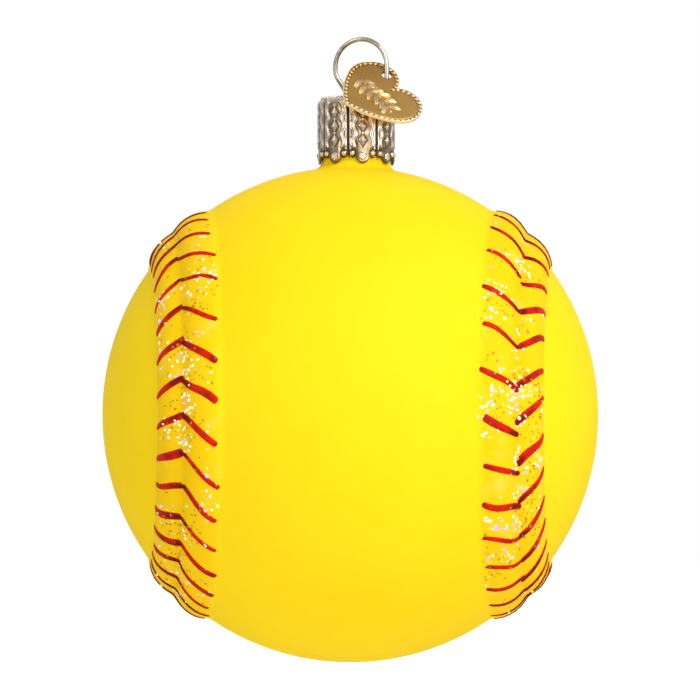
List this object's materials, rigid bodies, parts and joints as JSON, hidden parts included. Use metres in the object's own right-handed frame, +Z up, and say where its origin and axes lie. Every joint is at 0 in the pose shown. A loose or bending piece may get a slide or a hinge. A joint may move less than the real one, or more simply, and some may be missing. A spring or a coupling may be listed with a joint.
{
  "type": "softball ornament",
  "caption": "Blown-glass hanging ornament shaped as a softball, with a raised seam, painted stitches, a stamped cap, a sprung wire hanger and a heart tag; it hangs by its wire loop.",
  "frame": {"origin": "hang point: the inside of the wire loop at its top, where a hook carries the ornament", "axes": "+Z up along the hanging line, -Y out of the front of the ball, +X to the right seen from the front"},
  "size_m": [0.07, 0.07, 0.0884],
  "materials": {
    "yellow_glass": "satin lacquer",
    "red_enamel": "gloss",
    "cap_metal": "bright stamped",
    "wire_metal": "bright drawn",
    "tag_metal": "satin gold"
  },
  "bodies": {
    "ball": {"glass_ball": "yellow_glass", "front_right_stitches": "red_enamel", "back_bottom_stitches": "red_enamel", "front_left_stitches": "red_enamel", "back_top_stitches": "red_enamel"},
    "cap": {"cap": "cap_metal"},
    "hanger": {"hanger_wire": "wire_metal"},
    "tag": {"heart_tag": "tag_metal"}
  },
  "joints": [
    {"name": "cap_turn", "type": "hinge", "parent": "ball", "child": "cap", "pos_m": [-0.00068, 0.00025, -0.0075], "axis": [0, 0, 1], "continuous": true},
    {"name": "hanger_pull", "type": "slide", "parent": "cap", "child": "hanger", "axis": [0, 0, 1], "range_m": [0, 0.003]},
    {"name": "tag_lift", "type": "hinge", "parent": "hanger", "child": "tag", "pos_m": [0.00363, -0.00132, -0.00498], "axis": [-0.9751, -0.2215, 0], "range_deg": [0, 75]}
  ]
}
